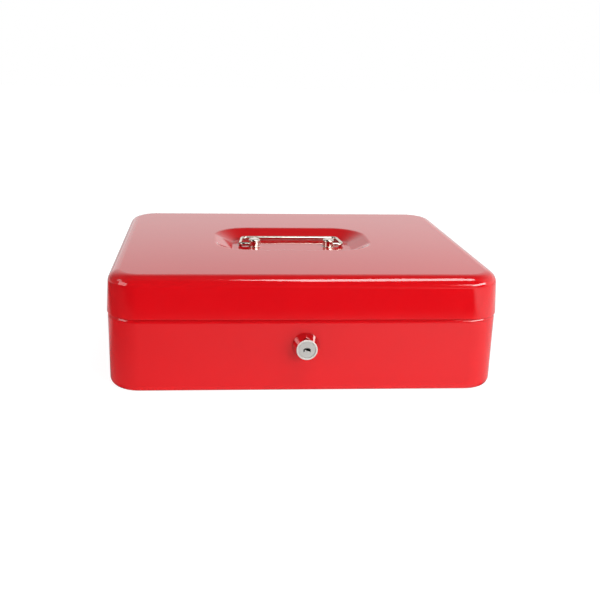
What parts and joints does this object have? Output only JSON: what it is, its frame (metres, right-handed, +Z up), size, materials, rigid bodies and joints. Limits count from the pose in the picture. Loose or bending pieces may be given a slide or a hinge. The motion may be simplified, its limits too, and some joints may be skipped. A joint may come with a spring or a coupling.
{
  "type": "cash box",
  "caption": "Red enamelled steel cash box: drawn tub, hinged lid with a wire handle folded into a recess, key lock with hook cam, and a lift-out coin tray.",
  "frame": {"origin": "centre of the flat base, on the surface the box stands on", "axes": "+X to the box's right as seen from the front, +Y towards the hinge at the back, +Z up; the lock faces -Y"},
  "size_m": [0.3, 0.2475, 0.09],
  "materials": {
    "red_enamel": "gloss enamel",
    "chrome_plate": "bright plate",
    "satin_nickel": "satin plate",
    "zinc_plate": "zinc plate",
    "brass_sheet": "stamped",
    "black_abs": "fine grained moulding"
  },
  "bodies": {
    "box": {"body_shell": "red_enamel", "tray_rest_left": "red_enamel", "tray_rest_right": "red_enamel", "hinge_leaf_body": "red_enamel", "hinge_pin": "zinc_plate", "lock_housing": "chrome_plate", "lock_washer": "zinc_plate", "lock_nut": "zinc_plate"},
    "lid": {"lid_shell": "red_enamel", "hinge_leaf_lid": "red_enamel", "lid_strike": "zinc_plate", "handle_post_left": "chrome_plate", "handle_post_right": "chrome_plate", "post_washers": "zinc_plate", "post_screws": "zinc_plate"},
    "handle": {"handle_bail": "chrome_plate"},
    "lock_core": {"lock_plug": "satin_nickel", "plug_wafers": "brass_sheet", "lock_cam": "zinc_plate", "cam_washer": "zinc_plate", "cam_screw": "zinc_plate"},
    "tray": {"coin_tray": "black_abs"}
  },
  "joints": [
    {"name": "lid_hinge", "type": "hinge", "parent": "box", "child": "lid", "pos_m": [0, 0.11594, 0.0577], "axis": [-1, 0, 0], "range_deg": [0, 100]},
    {"name": "handle_hinge", "type": "hinge", "parent": "lid", "child": "handle", "pos_m": [0, 0.005, 0.0846], "axis": [1, 0, 0], "range_deg": [0, 175]},
    {"name": "lock_turn", "type": "hinge", "parent": "box", "child": "lock_core", "pos_m": [0, -0.11898, 0.037], "axis": [0, 0.9997, 0.0244], "range_deg": [0, 90]},
    {"name": "tray_lift", "type": "slide", "parent": "box", "child": "tray", "axis": [0, 0, 1], "range_m": [0, 0.018]}
  ]
}
